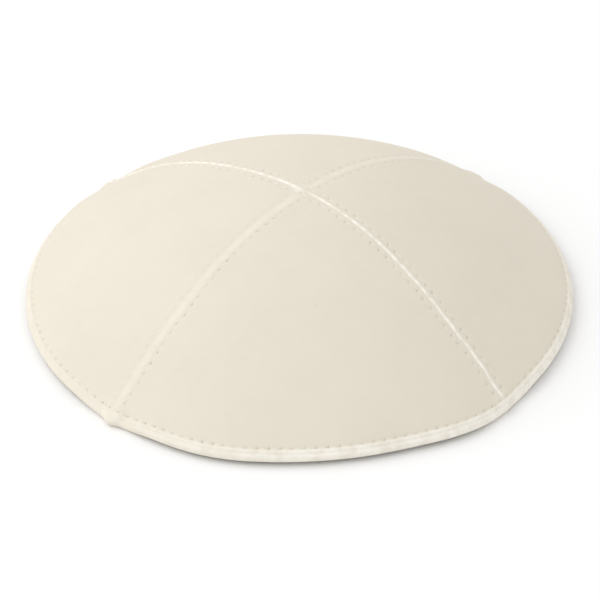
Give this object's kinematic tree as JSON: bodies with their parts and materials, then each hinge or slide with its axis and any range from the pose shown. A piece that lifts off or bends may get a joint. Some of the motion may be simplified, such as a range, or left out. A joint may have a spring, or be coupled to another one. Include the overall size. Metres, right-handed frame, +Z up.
{
  "type": "leather kippah skullcap",
  "caption": "Shallow round leather kippah: flat gores sewn edge to edge meet at the crown, with pressed-open seams, an open head hollow and a turned-up hem at the rim.",
  "frame": {"origin": "centre of the rim circle, on the surface that the hem rests on", "axes": "+Z up through the crown, -Y out through the middle of the front gore, +X out through the middle of the right gore"},
  "size_m": [0.1734, 0.1734, 0.041],
  "materials": {
    "ivory_leather": "matt ivory suede-finished leather"
  },
  "bodies": {
    "root": {"panel_front": "ivory_leather", "panel_right": "ivory_leather", "panel_back": "ivory_leather", "panel_left": "ivory_leather"}
  },
  "joints": []
}
